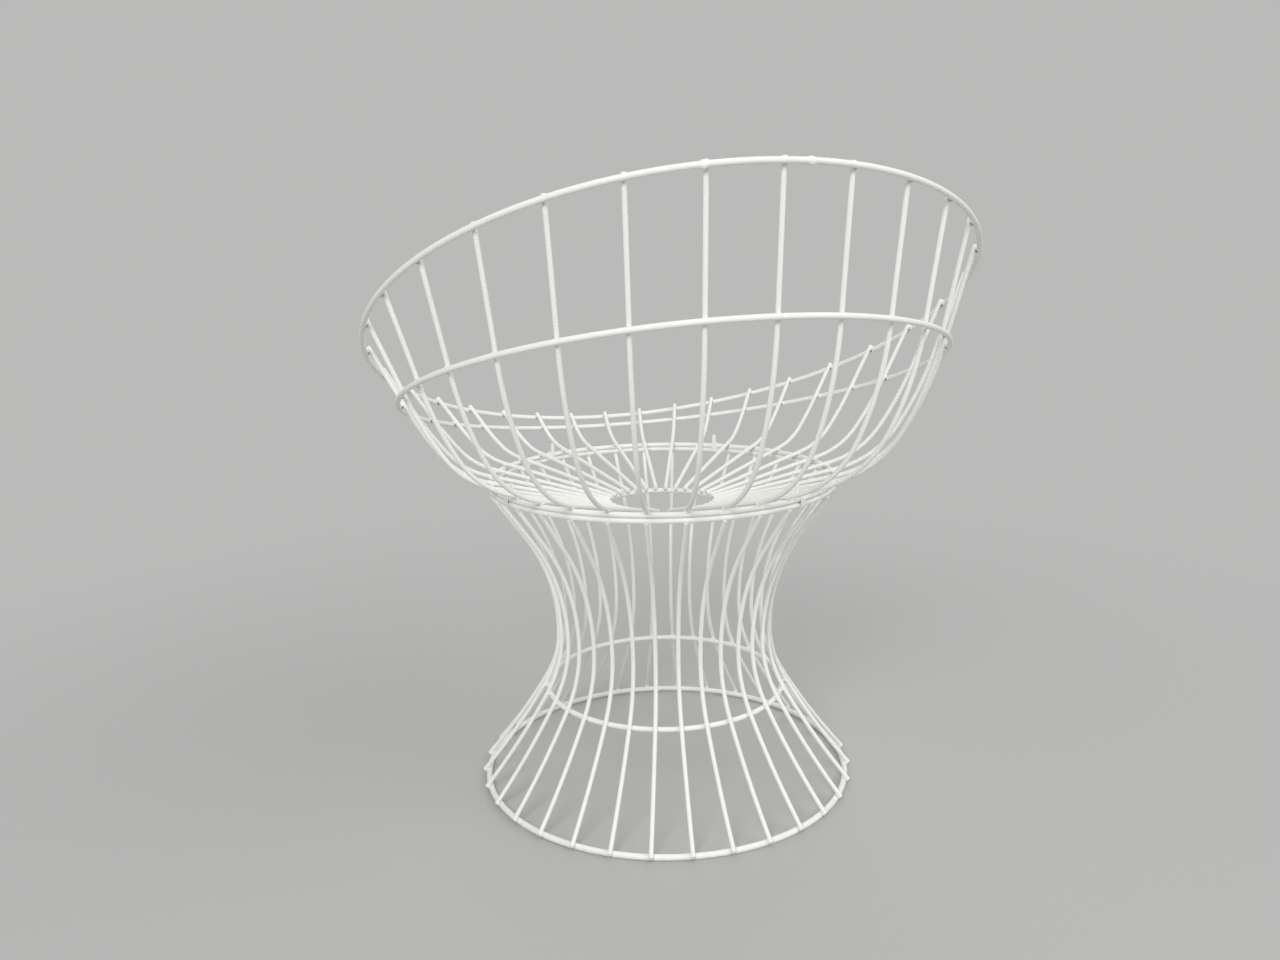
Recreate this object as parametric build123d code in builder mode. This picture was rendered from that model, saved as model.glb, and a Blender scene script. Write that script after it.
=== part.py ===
from build123d import *
import os
from collections import namedtuple
from math import asin, atan2, cos, hypot, pi, radians, sin, sqrt

# Free-standing tub armchair of round steel wire, welded and painted.
# Millimetres and degrees. Z is up, the origin is on the floor under the middle of the base,
# and the sitter faces -Y, so the high back is at +Y.

# Bar stock
wire_d = 5.0
ring_d = 6.0
base_ring_d = 7.0
weld_gap = 0.2
wire_tip = 4.0
foot_tip = 2.0
tip_round = 0.8
weld_run = 4.0
wire_count = 32

# Base: the floor ring, the waist ring inside the wires, how far the wires draw in above it,
# the radius of their shallow bend below it, their straight run up to the base top ring,
# and how far outside the middle of its bar they meet it
base_radius = 225.0
rest_flat = 0.3
waist_radius = 146.0
waist_height = 113.5
throat_inset = 15.0
leg_bend = 800.0
head_run = 60.0
head_out = 1.5

# Seat: the seat ring on the base top ring, and the small ring that hangs lower in the middle
seat_radius = 206.0
seat_height = 377.0
centre_radius = 68.5
centre_dip = 35.0

# Bowl: two rings that slope up to the back
mid_radius = 308.0
mid_height = 491.0
mid_back = 45.0
mid_tilt = 17.0
rim_radius = 340.0
rim_height = 561.0
rim_back = 45.0
rim_tilt = 26.0

# Straps that hold the bowl on its base, each in the middle of a gap between two wires
clip_width = 8.0
clip_thickness = 1.2
tail_height = 13.0
tail_width = 5.0
tail_round = 0.4 * tail_width
clip_gaps = (2, 12, 18, 25)

os.makedirs("parts", exist_ok=True)

# A ring's centre line: its radius, the height of its centre, how far back that centre lies,
# its slope up to the back, and the diameter of its bar
Ring = namedtuple("Ring", "radius height back tilt bar")
base_line = Ring(base_radius, base_ring_d / 2 - rest_flat, 0, 0, base_ring_d)
waist_line = Ring(waist_radius, waist_height, 0, 0, ring_d)
top_line = Ring(seat_radius, seat_height - ring_d - weld_gap, 0, 0, ring_d)
seat_line = Ring(seat_radius, seat_height, 0, 0, ring_d)
centre_line = Ring(centre_radius, seat_height - centre_dip, 0, 0, ring_d)
mid_line = Ring(mid_radius, mid_height, mid_back, mid_tilt, ring_d)
rim_line = Ring(rim_radius, rim_height, rim_back, rim_tilt, ring_d)

wire_step = 2 * pi / wire_count


def section(ring):
    """The middle of a level ring's bar, as (distance from the axis, height)."""
    return Vector(ring.radius, ring.height)


def left_of(direction):
    return Vector(-direction.Y, direction.X)


def right_of(direction):
    return Vector(direction.Y, -direction.X)


def stand_off(ring):
    """Distance between the centre lines of a wire and of the ring that it is welded to."""
    return ring.bar / 2 + wire_d / 2 + weld_gap


def radial_plane(angle):
    """Upright plane through the axis, at an angle from the back; its X points outwards, its Y up."""
    out = (-sin(angle), cos(angle), 0)
    return Plane(origin=(0, 0, 0), x_dir=out, z_dir=(cos(angle), sin(angle), 0))


def ring_crossing(ring, angle):
    """Where a sloping ring passes through a radial plane, and its direction as (out, up, across)."""
    depth = ring.radius * cos(radians(ring.tilt))
    rise = ring.radius * sin(radians(ring.tilt))
    swing = atan2(depth * sin(angle), ring.radius * cos(angle))
    reach = hypot(depth * sin(angle), ring.radius * cos(angle))
    turn = swing + asin(ring.back * sin(angle) / reach)
    along = ring.back + depth * cos(turn)
    aside = ring.radius * sin(turn)
    point = Vector(along * cos(angle) + aside * sin(angle), ring.height + rise * cos(turn))
    along_step = -depth * sin(turn)
    aside_step = ring.radius * cos(turn)
    out = along_step * cos(angle) + aside_step * sin(angle)
    across = aside_step * cos(angle) - along_step * sin(angle)
    return point, Vector(out, -rise * sin(turn), across)


def inside_of(ring, angle, lean):
    """Where a wire that leans this way touches a sloping ring from the inside of the bowl."""
    point, course = ring_crossing(ring, angle)
    inwards = left_of(lean)
    skew = course.dot(inwards) / course.Z
    return point + inwards * (stand_off(ring) * sqrt(1 + skew * skew))


def two_arcs(start, start_way, end, end_way):
    """Where two arcs meet that leave the start and reach the end smoothly, and their course there."""
    chord = end - start
    square = 2 * (1 - start_way.dot(end_way))
    linear = chord.dot(start_way + end_way)
    handle = (sqrt(linear * linear + square * chord.dot(chord)) - linear) / square
    first = start + start_way * handle
    second = end - end_way * handle
    return (first + second) * 0.5, (second - first).normalized()


def outer_centre(low, low_reach, high, high_reach):
    """The spot on the right of the way from low to high that lies at these distances from the two."""
    chord = high - low
    way = chord.normalized()
    along = (low_reach**2 - high_reach**2 + chord.length**2) / (2 * chord.length)
    aside = sqrt(low_reach**2 - along**2)
    return low + way * along + right_of(way) * aside


def level_ring(ring):
    with BuildPart(Plane.XY.offset(ring.height)) as body:
        Torus(ring.radius, ring.bar / 2)
    return body.part


def sloping_ring(ring):
    slope = radians(ring.tilt)
    plane = Plane(origin=(0, ring.back, ring.height), x_dir=(1, 0, 0), z_dir=(0, -sin(slope), cos(slope)))
    with BuildPart(plane) as body:
        Torus(ring.radius, ring.bar / 2)
    return body.part


def bent_wire(plane, start, bends, end, level=None):
    """A straight run, arcs that each leave a spot on the course given there, and a straight run.
    Its ends are rounded. What stands above a level, if one is given, is then cut off."""
    spots = [plane.from_local_coords(spot) for spot, course in bends]
    courses = [plane.from_local_coords(course) for spot, course in bends]
    with BuildPart() as body:
        with BuildLine() as route:
            Line(plane.from_local_coords(start), spots[0])
            for spot, next_spot, course in zip(spots, spots[1:], courses):
                TangentArc(spot, next_spot, tangent=course)
            Line(spots[-1], plane.from_local_coords(end))
        with BuildSketch(Plane(route.wire() @ 0, z_dir=route.wire() % 0)):
            Circle(wire_d / 2)
        sweep(path=route.wire())
        fillet(body.faces().filter_by(GeomType.PLANE).edges(), tip_round)
        if level:
            split(bisect_by=Plane.XY.offset(level), keep=Keep.BOTTOM)
    return body.part


def bowl_wire(angle):
    """From the centre ring out over the seat ring, then up inside the mid ring to the rim."""
    out = (section(seat_line) - section(centre_line)).normalized()
    over = left_of(out) * stand_off(seat_line)
    start = section(centre_line) + over - out * wire_tip
    bend_start = section(seat_line) + over + out * weld_run
    lean = (ring_crossing(rim_line, angle)[0] - ring_crossing(mid_line, angle)[0]).normalized()
    at_mid = inside_of(mid_line, angle, lean)
    at_rim = inside_of(rim_line, angle, lean)
    up = (at_rim - at_mid).normalized()
    bend_end = at_mid - up * weld_run
    meeting, course = two_arcs(bend_start, out, bend_end, up)
    end = at_rim + up * wire_tip
    bends = [(bend_start, out), (meeting, course), (bend_end, up)]
    return bent_wire(radial_plane(angle), start, bends, end)


def base_wire(angle):
    """From the floor ring past the waist ring, in to the throat and out, level under the base top ring."""
    foot = section(base_line)
    waist = section(waist_line)
    leg_centre = outer_centre(
        foot, leg_bend + stand_off(base_line), waist, leg_bend + stand_off(waist_line)
    )
    from_foot = (leg_centre - foot).normalized()
    from_waist = (leg_centre - waist).normalized()
    at_base = foot + from_foot * stand_off(base_line)
    at_waist = waist + from_waist * stand_off(waist_line)
    foot_way = left_of(from_foot)
    waist_way = left_of(from_waist)
    throat_radius = waist_radius - throat_inset
    bend = (at_waist.X - throat_radius) / (1 - waist_way.Y)
    throat = Vector(throat_radius, at_waist.Y - bend * waist_way.X)
    # The flare is an arc that leads into a straight run, cut off at the underside of the base top ring
    head = section(top_line) + Vector(head_out, -ring_d / 2 - weld_gap)
    climb = head - throat
    flare = (climb.dot(climb) - head_run**2) / (2 * climb.X)
    to_head = climb - Vector(flare, 0)
    from_centre = (to_head * flare + left_of(to_head) * head_run).normalized()
    flare_end = throat + Vector(flare, 0) + from_centre * flare
    head_way = right_of(from_centre)
    start = at_base - foot_way * foot_tip
    end = head + head_way * head_run
    bends = [(at_base, foot_way), (at_waist, waist_way), (throat, Vector(0, 1)), (flare_end, head_way)]
    return bent_wire(radial_plane(angle), start, bends, end, head.Y)


def seat_clip(angle):
    """A strap bent round the seat ring and the base top ring, with its tail left standing inside."""
    spread = seat_line.height - top_line.height
    hole = ring_d + 2 * weld_gap
    outside = hole + 2 * clip_thickness
    with BuildPart() as body:
        with BuildSketch(radial_plane(angle)):
            with Locations((seat_radius, (seat_line.height + top_line.height) / 2)):
                SlotCenterToCenter(spread, outside, rotation=90)
                SlotCenterToCenter(spread, hole, rotation=90, mode=Mode.SUBTRACT)
        extrude(amount=clip_width / 2, both=True)
        with BuildSketch(radial_plane(angle)):
            with Locations((seat_radius - outside / 2, seat_line.height)):
                Rectangle(clip_thickness, ring_d / 2 + tail_height, align=(Align.MIN, Align.MIN))
        extrude(amount=tail_width / 2, both=True)
        fillet(body.faces().sort_by(Axis.Z)[-1].edges().sort_by(SortBy.LENGTH)[:2], tail_round)
    return body.part


# Floor ring, with the flat that it stands on
with BuildPart() as base_ring:
    with BuildSketch(Plane.XZ):
        with Locations((base_line.radius, base_line.height)):
            Circle(base_line.bar / 2)
        with Locations((base_line.radius, 0)):
            Rectangle(base_line.bar, base_line.bar, align=(Align.CENTER, Align.MAX), mode=Mode.SUBTRACT)
    revolve(axis=Axis.Z)

pieces = {
    "base_ring": base_ring.part,
    "waist_ring": level_ring(waist_line),
    "base_top_ring": level_ring(top_line),
    "seat_ring": level_ring(seat_line),
    "centre_ring": level_ring(centre_line),
    "mid_ring": sloping_ring(mid_line),
    "rim_ring": sloping_ring(rim_line),
    "seat_clips": Compound([seat_clip((gap + 0.5) * wire_step) for gap in clip_gaps]),
}

# Bowl wires, counted from the one in the middle of the back
for number in range(wire_count):
    pieces[f"bowl_wire_{number:02d}"] = bowl_wire(number * wire_step)

# Base wires, two neighbours to a node
for first in range(0, wire_count, 2):
    pair = [base_wire(number * wire_step) for number in range(first, min(first + 2, wire_count))]
    pieces[f"base_wires_{first:02d}"] = Compound(pair)

for name, piece in pieces.items():
    piece.label = name
    export_step(piece, f"parts/{name}.step")
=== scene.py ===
import random
from math import asin, atan2, cos, hypot, pi, radians, sin, sqrt

import bmesh
import bpy
from mathutils import Matrix, Vector, noise
from mathutils.bvhtree import BVHTree


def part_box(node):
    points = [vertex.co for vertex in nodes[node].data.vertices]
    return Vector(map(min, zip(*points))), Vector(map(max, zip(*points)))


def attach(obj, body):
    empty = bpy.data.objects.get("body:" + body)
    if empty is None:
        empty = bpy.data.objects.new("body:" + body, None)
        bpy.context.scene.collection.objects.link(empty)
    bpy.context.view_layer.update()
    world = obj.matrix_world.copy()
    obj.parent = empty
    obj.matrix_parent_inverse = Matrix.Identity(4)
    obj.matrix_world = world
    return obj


# White painted wire tub armchair, seen from behind and a little above.
# Metres, in the frame of the solids: Z up, the high back at +Y.

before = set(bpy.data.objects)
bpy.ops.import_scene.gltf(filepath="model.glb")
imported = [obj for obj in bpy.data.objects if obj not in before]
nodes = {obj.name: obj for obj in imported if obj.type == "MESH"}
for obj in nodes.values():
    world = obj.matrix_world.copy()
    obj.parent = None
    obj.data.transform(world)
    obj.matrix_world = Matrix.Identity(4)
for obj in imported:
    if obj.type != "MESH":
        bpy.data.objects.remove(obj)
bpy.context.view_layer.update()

# Photograph and camera
photo_width = 1280
focal_pixels = 1038.5
sensor_width = 36.0
camera_place = (0.3815, 1.1714, 0.6312)
camera_heading = radians(163.18)
camera_pitch = radians(-11.95)
camera_roll = radians(-1.19)

# Welds: how thick the paint and weld metal stand between the bars, and how uneven they are
wire_count = 32
weld_height = {
    "base_ring": 0.0022,
    "waist_ring": 0.0034,
    "base_top_ring": 0.0008,
    "seat_ring": 0.0022,
    "centre_ring": 0.0022,
    "mid_ring": 0.0020,
    "rim_ring": 0.0022,
}
weld_height_spread = (0.85, 1.2)
weld_unevenness = 0.22
weld_bulge = 0.00035
weld_sink = 0.00015
weld_sides = 20
weld_rows = 5
lumps_per_metre = 900
lumps_per_turn = 1.3

# How far out over a round bar a weld may reach, the least share of a step that counts as across a bar,
# and how often the reach of a weld is halved to find it
bar_edge = 0.97
least_share = 0.05
reach_halvings = 24

# Butt welds in the rim, by their distance along it from the middle of the back
rim_splices = (0.0226, -0.072)
splice_length = 0.0085
splice_height = 0.0013
splice_dressing = 0.8
splice_crown = 1.5
splice_unevenness = 0.35
splice_rows = 13
splice_sides = 24
splice_lumps_per_metre = 300
splice_lumps_per_turn = 2.2
splice_lumps_along = 2

# Paint: its colours, the noise fields as (scale, detail, roughness), the range of a field over which each
# mark comes in, and how strong the mark gets
white_paint = (0.865, 0.870, 0.830)
aged_paint = (0.81, 0.81, 0.745)
dull_share = 0.93
dull_paint = tuple(dull_share * channel for channel in white_paint)
floor_dust = (0.52, 0.48, 0.42)
# Painted shade: the dark colour laid on the downward-facing sides of the welds, standing in for crevice
# shadow under the bars
crevice_shade = (0.17, 0.15, 0.125)
patch_noise = (9.0, 3.0, 0.55)
mottle_noise = (140.0, 4.0, 0.6)
speckle_detail = (2.0, 0.5)
peel_noise = (420.0, 2.0, 0.5)
yellow_range = (0.48, 0.72)
dull_range = (0.50, 0.75)
dull_strength = 0.45
pinhole_range = (0.735, 0.77)
pinhole_strength = 0.55
dust_height = 0.006
dust_range = (0.35, 0.65)
dust_strength = (0.05, 0.40)
# Painted shade under the welds: the tilt of a surface over which it comes in, the mottle range, and how dark
# it gets
shade_facing = (0.0, -0.5)
shade_range = (0.3, 0.6)
shade_strength = (0.4, 1.0)
gloss_range = (0.3, 0.7)
paint_roughness = (0.50, 0.64)
peel_strength = 0.12
peel_depth = 0.0003
coat_weight = 0.04
coat_roughness = 0.35

# Studio: the floor that fades into the backdrop, and the lamps as (place, width, power)
floor_colour = (0.46, 0.46, 0.455)
floor_roughness = 0.9
floor_half = 30.0
backdrop_colour = (0.49, 0.49, 0.485)
fade_start = 0.42
fade_end = 1.5
world_strength = 0.43
lamp_aim = (0, 0, 0.35)
softboxes = {
    "key": ((2.4, 3.75, 3.0), 1.95, 136),
    "fill": ((-3.0, 2.4, 3.3), 3.6, 86),
    "back": ((-1.2, -4.0, 2.4), 3.2, 60),
}

wire_step = 2 * pi / wire_count
wire_radius = (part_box("bowl_wire_00")[1].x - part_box("bowl_wire_00")[0].x) / 2
bar_radius = (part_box("seat_ring")[1].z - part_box("seat_ring")[0].z) / 2
dice = random.Random(7)


class RingLine:
    """A ring's centre line: its middle, radius and slope up to the back, from the box of its node."""

    def __init__(self, node):
        low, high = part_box(node)
        self.middle = (low + high) / 2
        half = (high - low) / 2
        level = half.z < 2 * bar_radius
        self.bar = half.z if level else bar_radius
        self.radius = half.x - self.bar
        self.slope = atan2(half.z - self.bar, half.y - self.bar)

    def point(self, turn):
        """The point of the line that is a turn away from the back, towards -X."""
        forth = self.radius * cos(turn)
        aside = -self.radius * sin(turn)
        return self.middle + Vector((aside, forth * cos(self.slope), forth * sin(self.slope)))

    def course(self, turn):
        """The direction of the line at that point."""
        forth = -sin(turn)
        return Vector((-cos(turn), forth * cos(self.slope), forth * sin(self.slope)))

    def turn_at(self, angle):
        """The turn at which the line passes through the upright plane at an angle from the back."""
        depth = self.radius * cos(self.slope)
        swing = atan2(depth * sin(angle), self.radius * cos(angle))
        reach = hypot(depth * sin(angle), self.radius * cos(angle))
        return swing + asin(self.middle.y * sin(angle) / reach)


def surface_tree(obj):
    mesh = obj.data
    return BVHTree.FromPolygons([v.co for v in mesh.vertices], [p.vertices for p in mesh.polygons])


def add_piece(name, mesh_maker, material):
    """A piece whose mesh a function fills in; it rides with the chair."""
    maker = bmesh.new()
    mesh_maker(maker)
    bmesh.ops.recalc_face_normals(maker, faces=maker.faces)
    mesh = bpy.data.meshes.new(name)
    maker.to_mesh(mesh)
    maker.free()
    mesh.polygons.foreach_set("use_smooth", [True] * len(mesh.polygons))
    mesh.materials.append(material)
    piece = bpy.data.objects.new(name, mesh)
    bpy.context.scene.collection.objects.link(piece)
    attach(piece, "root")


# Paint


def paint(name, age, speckle_scale, painted_shade=0.0):
    """White enamel on steel: uneven in tone, yellowed in patches, dusty at the floor, and where asked for
    painted shade on the sides that face down."""
    material = bpy.data.materials.new(name)
    material.use_nodes = True
    tree = material.node_tree
    shader = tree.nodes["Principled BSDF"]
    link = tree.links.new

    def node(kind, **inputs):
        made = tree.nodes.new(kind)
        for key, value in inputs.items():
            made.inputs[key].default_value = value
        return made

    def noise_field(scale, detail, roughness):
        field = node("ShaderNodeTexNoise", Scale=scale, Detail=detail, Roughness=roughness)
        link(place.outputs["Object"], field.inputs["Vector"])
        return field.outputs["Fac"]

    def ramp(source, low, high, from_value=0.0, to_value=1.0):
        made = node("ShaderNodeMapRange")
        made.interpolation_type = "SMOOTHSTEP"
        made.inputs["From Min"].default_value = low
        made.inputs["From Max"].default_value = high
        made.inputs["To Min"].default_value = from_value
        made.inputs["To Max"].default_value = to_value
        link(source, made.inputs["Value"])
        return made.outputs["Result"]

    def blend(share, base, top):
        made = node("ShaderNodeMix")
        made.data_type = "RGBA"
        link(share, made.inputs["Factor"])
        for socket, colour in ((made.inputs["A"], base), (made.inputs["B"], top)):
            if isinstance(colour, tuple):
                socket.default_value = (*colour, 1.0)
            else:
                link(colour, socket)
        return made.outputs["Result"]

    def times(first, second):
        made = node("ShaderNodeMath")
        made.operation = "MULTIPLY"
        link(first, made.inputs[0])
        link(second, made.inputs[1])
        return made.outputs["Value"]

    place = node("ShaderNodeTexCoord")
    spread = node("ShaderNodeSeparateXYZ")
    link(place.outputs["Object"], spread.inputs["Vector"])

    patches = noise_field(*patch_noise)
    mottle = noise_field(*mottle_noise)
    speckle = noise_field(speckle_scale, *speckle_detail)

    colour = blend(ramp(patches, *yellow_range, 0.0, age), white_paint, aged_paint)
    colour = blend(ramp(mottle, *dull_range, 0.0, dull_strength), colour, dull_paint)
    colour = blend(ramp(speckle, *pinhole_range, 0.0, pinhole_strength), colour, floor_dust)
    near_floor = ramp(spread.outputs["Z"], dust_height, 0.0)
    colour = blend(times(near_floor, ramp(mottle, *dust_range, *dust_strength)), colour, floor_dust)
    # Painted shade: the sides that face down are darkened, mottled, standing in for crevice shadow under the
    # welds
    if painted_shade:
        surface = node("ShaderNodeNewGeometry")
        facing = node("ShaderNodeSeparateXYZ")
        link(surface.outputs["Normal"], facing.inputs["Vector"])
        underneath = ramp(facing.outputs["Z"], *shade_facing, 0.0, painted_shade)
        colour = blend(times(underneath, ramp(mottle, *shade_range, *shade_strength)), colour, crevice_shade)
    link(colour, shader.inputs["Base Color"])

    link(ramp(mottle, *gloss_range, *paint_roughness), shader.inputs["Roughness"])
    peel = node("ShaderNodeBump", Strength=peel_strength, Distance=peel_depth)
    link(noise_field(*peel_noise), peel.inputs["Height"])
    link(peel.outputs["Normal"], shader.inputs["Normal"])
    shader.inputs["Coat Weight"].default_value = coat_weight
    shader.inputs["Coat Roughness"].default_value = coat_roughness
    return material


ring_paint = paint("ring_paint", age=0.35, speckle_scale=620.0)
wire_paint = paint("wire_paint", age=0.30, speckle_scale=640.0)
clip_paint = paint("clip_paint", age=0.50, speckle_scale=560.0)
# The welds carry painted shade on their undersides
weld_paint = paint("weld_paint", age=0.45, speckle_scale=500.0, painted_shade=0.9)

for name, obj in nodes.items():
    if name.endswith("_ring"):
        finish = ring_paint
    elif name == "seat_clips":
        finish = clip_paint
    else:
        finish = wire_paint
    obj.data.materials.clear()
    obj.data.materials.append(finish)


# Welds


def bar_gap(radius, aside):
    """How far a round bar falls away from its tangent plane, this far aside from its line."""
    aside = min(aside, bar_edge * radius)
    return radius - sqrt(radius * radius - aside * aside)


def weld_reach(height, ring_bar, ring_share, wire_share):
    """How far from the contact the gap between the two bars is this high."""
    near = 0.0
    far = bar_edge * min(ring_bar / max(ring_share, least_share), wire_radius / max(wire_share, least_share))
    for _ in range(reach_halvings):
        middle = (near + far) / 2
        gap = bar_gap(ring_bar, middle * ring_share) + bar_gap(wire_radius, middle * wire_share)
        if gap < height:
            near = middle
        else:
            far = middle
    return near


def add_weld(maker, contact, normal, ring_course, wire_course, ring_bar, height):
    """Weld metal and paint that fill the wedge all round the spot where a wire lies on a ring."""
    across = normal.cross(ring_course).normalized()
    loops = []
    for side in range(weld_sides):
        angle = 2 * pi * side / weld_sides
        out = ring_course * cos(angle) + across * sin(angle)
        ring_share = out.cross(ring_course).length
        wire_share = out.cross(wire_course).length
        lump = noise.noise(contact * lumps_per_metre + out * lumps_per_turn)
        fill = height * (1 + weld_unevenness * lump)
        reach = weld_reach(fill, ring_bar, ring_share, wire_share)
        low = -bar_gap(ring_bar, reach * ring_share) - weld_sink
        high = bar_gap(wire_radius, reach * wire_share) + weld_sink
        column = []
        for row in range(weld_rows):
            share = row / (weld_rows - 1)
            swell = weld_bulge * (1 + lump) * sin(pi * share)
            height_here = low + (high - low) * share
            column.append(maker.verts.new(contact + out * (reach + swell) + normal * height_here))
        loops.append(column)
    foot = maker.verts.new(contact - normal * weld_sink)
    head = maker.verts.new(contact + normal * weld_sink)
    for column, following in zip(loops, loops[1:] + loops[:1]):
        for row in range(weld_rows - 1):
            maker.faces.new((column[row], following[row], following[row + 1], column[row + 1]))
        maker.faces.new((foot, following[0], column[0]))
        maker.faces.new((head, column[-1], following[-1]))


def weld_ring(ring_name, wire_name):
    """The welds of all the wires that cross a ring."""
    ring = RingLine(ring_name)

    def fill(maker):
        for number in range(wire_count):
            angle = number * wire_step
            turn = ring.turn_at(angle)
            spot = ring.point(turn)
            touch = wire_trees[wire_name(number)].find_nearest(spot)[0]
            normal = (touch - spot).normalized()
            around = Vector((cos(angle), sin(angle), 0))
            wire_course = around.cross(normal).normalized()
            contact = spot + normal * ((touch - spot).length + ring.bar) / 2
            height = weld_height[ring_name] * dice.uniform(*weld_height_spread)
            add_weld(maker, contact, normal, ring.course(turn), wire_course, ring.bar, height)

    add_piece(f"welds_{ring_name}", fill, weld_paint)


def bowl_wire_name(number):
    return f"bowl_wire_{number:02d}"


def base_wire_name(number):
    return f"base_wires_{number - number % 2:02d}"


wire_trees = {name: surface_tree(obj) for name, obj in nodes.items() if "_wire" in name}
for ring_name in ("base_ring", "waist_ring", "base_top_ring"):
    weld_ring(ring_name, base_wire_name)
for ring_name in ("centre_ring", "seat_ring", "mid_ring", "rim_ring"):
    weld_ring(ring_name, bowl_wire_name)


# Butt welds of the rim


def add_splice(maker, ring, turn):
    """A lumpy collar of weld metal round the bar where two ends of a ring meet, dressed flat outside."""
    centre = ring.point(turn)
    along = ring.course(turn)
    outwards = (centre - ring.middle).normalized()
    upwards = along.cross(outwards)
    loops = []
    for row in range(splice_rows):
        share = 2 * row / (splice_rows - 1) - 1
        swell = splice_height * (1 - share * share) ** splice_crown
        loop = []
        for side in range(splice_sides):
            angle = 2 * pi * side / splice_sides
            way = outwards * cos(angle) + upwards * sin(angle)
            spot = way * splice_lumps_per_turn + along * share * splice_lumps_along
            lump = noise.noise(spot + centre * splice_lumps_per_metre)
            left = 1 - splice_dressing * max(0, cos(angle))
            radius = ring.bar - weld_sink + (swell * left + weld_sink) * (1 + splice_unevenness * lump)
            if row in (0, splice_rows - 1):
                radius = ring.bar - weld_sink
            loop.append(maker.verts.new(centre + along * share * splice_length / 2 + way * radius))
        loops.append(loop)
    for loop, following in zip(loops, loops[1:]):
        for side in range(splice_sides):
            turned = (side + 1) % splice_sides
            maker.faces.new((loop[side], loop[turned], following[turned], following[side]))
    maker.faces.new(loops[0])
    maker.faces.new(loops[-1])


def fill_splices(maker):
    rim = RingLine("rim_ring")
    for distance in rim_splices:
        add_splice(maker, rim, distance / rim.radius)


add_piece("rim_splices", fill_splices, ring_paint)


# Studio


def seen_directly(tree):
    """1 for what the camera, a reflection or a see-through surface shows, 0 for what only lights."""
    path = tree.nodes.new("ShaderNodeLightPath")
    total = path.outputs["Is Camera Ray"]
    for name in ("Is Glossy Ray", "Is Transmission Ray"):
        larger = tree.nodes.new("ShaderNodeMath")
        larger.operation = "MAXIMUM"
        tree.links.new(total, larger.inputs[0])
        tree.links.new(path.outputs[name], larger.inputs[1])
        total = larger.outputs["Value"]
    return total


def floor_paint():
    """Plain pale floor that runs out into the backdrop, so that no horizon shows."""
    material = bpy.data.materials.new("floor")
    material.use_nodes = True
    tree = material.node_tree
    shader = tree.nodes["Principled BSDF"]
    shader.inputs["Base Color"].default_value = (*floor_colour, 1)
    shader.inputs["Roughness"].default_value = floor_roughness
    backdrop = tree.nodes.new("ShaderNodeEmission")
    backdrop.inputs["Color"].default_value = (*backdrop_colour, 1)
    place = tree.nodes.new("ShaderNodeTexCoord")
    distance = tree.nodes.new("ShaderNodeVectorMath")
    distance.operation = "LENGTH"
    tree.links.new(place.outputs["Object"], distance.inputs[0])
    fade = tree.nodes.new("ShaderNodeMapRange")
    fade.interpolation_type = "SMOOTHSTEP"
    fade.inputs["From Min"].default_value = fade_start
    fade.inputs["From Max"].default_value = fade_end
    tree.links.new(distance.outputs["Value"], fade.inputs["Value"])
    share = tree.nodes.new("ShaderNodeMath")
    share.operation = "MULTIPLY"
    tree.links.new(fade.outputs["Result"], share.inputs[0])
    tree.links.new(seen_directly(tree), share.inputs[1])
    mix = tree.nodes.new("ShaderNodeMixShader")
    tree.links.new(share.outputs["Value"], mix.inputs["Fac"])
    tree.links.new(shader.outputs["BSDF"], mix.inputs[1])
    tree.links.new(backdrop.outputs["Emission"], mix.inputs[2])
    tree.links.new(mix.outputs["Shader"], tree.nodes["Material Output"].inputs["Surface"])
    return material


def add_floor():
    mesh = bpy.data.meshes.new("floor")
    corners = [(-1, -1), (1, -1), (1, 1), (-1, 1)]
    mesh.from_pydata([(x * floor_half, y * floor_half, 0) for x, y in corners], [], [(0, 1, 2, 3)])
    mesh.materials.append(floor_paint())
    floor = bpy.data.objects.new("floor", mesh)
    bpy.context.scene.collection.objects.link(floor)


def add_softbox(name, place, width, power):
    light = bpy.data.lights.new(name, "AREA")
    light.size = width
    light.energy = power
    lamp = bpy.data.objects.new(name, light)
    lamp.location = place
    lamp.rotation_euler = (Vector(lamp_aim) - Vector(place)).to_track_quat("-Z", "Y").to_euler()
    bpy.context.scene.collection.objects.link(lamp)


def add_world():
    """Soft light from all round, behind which the plain backdrop shows."""
    world = bpy.data.worlds.new("studio")
    world.use_nodes = True
    tree = world.node_tree
    light = tree.nodes["Background"]
    light.inputs["Color"].default_value = (1, 1, 1, 1)
    light.inputs["Strength"].default_value = world_strength
    backdrop = tree.nodes.new("ShaderNodeBackground")
    backdrop.inputs["Color"].default_value = (*backdrop_colour, 1)
    mix = tree.nodes.new("ShaderNodeMixShader")
    tree.links.new(seen_directly(tree), mix.inputs["Fac"])
    tree.links.new(light.outputs["Background"], mix.inputs[1])
    tree.links.new(backdrop.outputs["Background"], mix.inputs[2])
    tree.links.new(mix.outputs["Shader"], tree.nodes["World Output"].inputs["Surface"])
    bpy.context.scene.world = world


def add_camera():
    data = bpy.data.cameras.new("camera")
    data.sensor_width = sensor_width
    data.lens = sensor_width * focal_pixels / photo_width
    camera = bpy.data.objects.new("camera", data)
    turn = Matrix.Rotation(camera_heading, 4, "Z")
    tip = Matrix.Rotation(pi / 2 + camera_pitch, 4, "X")
    roll = Matrix.Rotation(camera_roll, 4, "Z")
    camera.matrix_world = Matrix.Translation(camera_place) @ turn @ tip @ roll
    bpy.context.scene.collection.objects.link(camera)
    bpy.context.scene.camera = camera


add_floor()
for name, (place, width, power) in softboxes.items():
    add_softbox(name, place, width, power)
add_world()
add_camera()
bpy.context.scene.view_settings.view_transform = "Standard"
